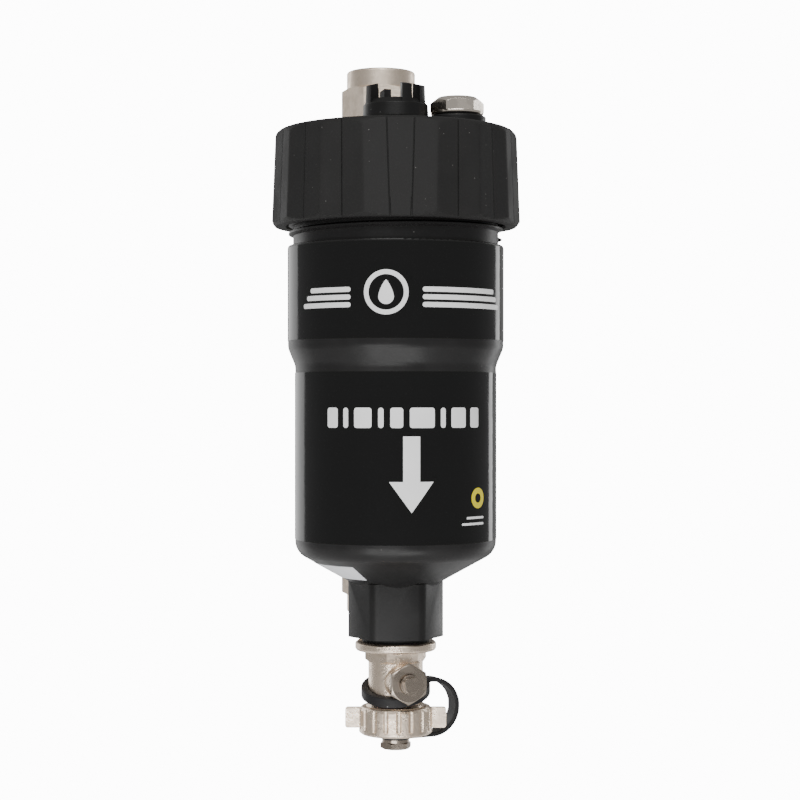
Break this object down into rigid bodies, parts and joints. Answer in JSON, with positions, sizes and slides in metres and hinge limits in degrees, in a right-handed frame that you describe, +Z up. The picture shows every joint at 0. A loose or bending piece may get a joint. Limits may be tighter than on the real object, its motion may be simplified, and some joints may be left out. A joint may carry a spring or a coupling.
{
  "type": "magnetic system filter",
  "caption": "In-line magnetic dirt filter for a heating circuit: canister with screwed ribbed collar, lift-out magnet core, drain valve, vent plug and a swivelling valved pipe manifold.",
  "frame": {"origin": "centre of the lower 22 mm pipe socket, on the plane where the pipe stops", "axes": "+Z up the pipe run, -Y towards the canister and its front, +X to the lever side of the isolating valves"},
  "size_m": [0.1083, 0.1615, 0.3122],
  "materials": {
    "canister_black": "satin moulded glass-filled nylon, black",
    "collar_black": "satin moulded nylon with a fine eggshell surface, black",
    "head_black": "satin moulded nylon, black",
    "label_gloss": "gloss black film with plain white printed marks",
    "sticker_white": "white paper label with plain pale bars",
    "inner_plastic": "natural grey acetal",
    "seal_rubber": "black rubber",
    "strap_rubber": "soft moulded black rubber",
    "stainless": "drawn stainless steel",
    "magnet_nickel": "nickel-plated magnet",
    "pole_steel": "mild steel",
    "cast_nickel": "nickel-plated brass with a grainy forged skin",
    "bright_nickel": "nickel-plated machined brass",
    "vent_nickel": "bright nickel-plated brass",
    "ball_chrome": "chromed brass ball",
    "seat_white": "white seat plastic",
    "fitting_nickel": "satin nickel-plated brass",
    "spindle_steel": "turned steel",
    "lever_coat": "black powder-coated lever",
    "olive_brass": "plain brass"
  },
  "bodies": {
    "manifold": {"manifold_tee": "fitting_nickel", "port_union_nut": "fitting_nickel", "upper_union_nut": "fitting_nickel", "upper_union_washer": "seal_rubber", "upper_valve_body": "fitting_nickel", "upper_valve_seats": "seat_white", "upper_spindle_seal": "seal_rubber", "upper_gland_nut": "fitting_nickel", "upper_olive": "olive_brass", "upper_compression_nut": "fitting_nickel", "lower_union_nut": "fitting_nickel", "lower_union_washer": "seal_rubber", "lower_valve_body": "fitting_nickel", "lower_valve_seats": "seat_white", "lower_spindle_seal": "seal_rubber", "lower_gland_nut": "fitting_nickel", "lower_olive": "olive_brass", "lower_compression_nut": "fitting_nickel"},
    "upper_valve": {"upper_valve_ball": "ball_chrome", "upper_valve_spindle": "spindle_steel", "upper_valve_handle": "lever_coat", "upper_handle_screw": "spindle_steel"},
    "lower_valve": {"lower_valve_ball": "ball_chrome", "lower_valve_spindle": "spindle_steel", "lower_valve_handle": "lever_coat", "lower_handle_screw": "spindle_steel"},
    "canister": {"canister_body": "canister_black", "upper_label": "label_gloss", "lower_label": "label_gloss", "batch_sticker": "sticker_white", "settling_baffle": "inner_plastic", "diverter_tube": "inner_plastic", "port_gasket": "seal_rubber", "drain_washer": "seal_rubber", "drain_valve_body": "cast_nickel", "drain_seats": "seat_white", "drain_spindle_seal": "seal_rubber", "drain_gland_nut": "bright_nickel", "strap": "strap_rubber"},
    "drain_tap": {"drain_ball": "ball_chrome", "drain_spindle": "bright_nickel"},
    "cap_seal": {"cap_washer": "seal_rubber"},
    "cap": {"drain_cap": "cast_nickel", "cap_bolt": "bright_nickel"},
    "head": {"head_disc": "head_black", "head_oring": "seal_rubber", "magnet_pocket": "stainless"},
    "collar_slip": {"slip_ring": "inner_plastic"},
    "collar": {"collar_ring": "collar_black"},
    "plug_seal": {"plug_washer": "seal_rubber"},
    "magnet_core": {"magnet_rod": "stainless", "magnets": "magnet_nickel", "pole_pieces": "pole_steel", "core_spacer": "inner_plastic", "rod_nut": "stainless"},
    "plug": {"magnet_plug": "head_black"},
    "vent_seal": {"vent_washer": "seal_rubber"},
    "vent": {"vent_plug": "vent_nickel"}
  },
  "joints": [
    {"name": "canister_swivel", "type": "hinge", "parent": "manifold", "child": "canister", "pos_m": [0, -0.03, 0.098], "axis": [0, 1, 0], "range_deg": [-180, 180]},
    {"name": "head_lift", "type": "slide", "parent": "canister", "child": "head", "axis": [0, 0, 1], "range_m": [0, 0.165]},
    {"name": "collar_rise", "type": "slide", "parent": "head", "child": "collar_slip", "axis": [0, 0, 1], "range_m": [0, 0.0101]},
    {"name": "collar_turn", "type": "hinge", "parent": "collar_slip", "child": "collar", "pos_m": [0, -0.088, 0.1667], "axis": [0, 0, 1], "range_deg": [0, 900]},
    {"name": "magnet_lift", "type": "slide", "parent": "head", "child": "plug_seal", "axis": [0, 0, 1], "range_m": [0, 0.16]},
    {"name": "plug_rise", "type": "slide", "parent": "plug_seal", "child": "magnet_core", "axis": [0, 0, 1], "range_m": [0, 0.0061]},
    {"name": "plug_turn", "type": "hinge", "parent": "magnet_core", "child": "plug", "pos_m": [0, -0.088, 0.1967], "axis": [0, 0, 1], "range_deg": [0, 1080]},
    {"name": "vent_rise", "type": "slide", "parent": "head", "child": "vent_seal", "axis": [0, 0, 1], "range_m": [0, 0.0061]},
    {"name": "vent_turn", "type": "hinge", "parent": "vent_seal", "child": "vent", "pos_m": [0.0272, -0.088, 0.1967], "axis": [0, 0, 1], "range_deg": [0, 1440]},
    {"name": "drain_turn", "type": "hinge", "parent": "canister", "child": "drain_tap", "pos_m": [0, -0.088, -0.0528], "axis": [0.247, -0.969, 0], "range_deg": [0, 90]},
    {"name": "cap_drop", "type": "slide", "parent": "canister", "child": "cap_seal", "axis": [0, 0, -1], "range_m": [0, 0.0109], "deforming": ["strap"]},
    {"name": "cap_turn", "type": "hinge", "parent": "cap_seal", "child": "cap", "pos_m": [0, -0.088, -0.0713], "axis": [0, 0, -1], "range_deg": [0, 2160]},
    {"name": "upper_handle_turn", "type": "hinge", "parent": "manifold", "child": "upper_valve", "pos_m": [0, 0, 0.169], "axis": [1, 0, 0], "range_deg": [0, 90]},
    {"name": "lower_handle_turn", "type": "hinge", "parent": "manifold", "child": "lower_valve", "pos_m": [0, 0, 0.027], "axis": [1, 0, 0], "range_deg": [0, 90]}
  ],
  "couplings": [
    {"joint": "collar_rise", "follows": "collar_turn", "m_per_rad": 0.00063662},
    {"joint": "plug_rise", "follows": "plug_turn", "m_per_rad": 0.00031831},
    {"joint": "vent_rise", "follows": "vent_turn", "m_per_rad": 0.00023873},
    {"joint": "cap_drop", "follows": "cap_turn", "m_per_rad": 0.00028648}
  ]
}
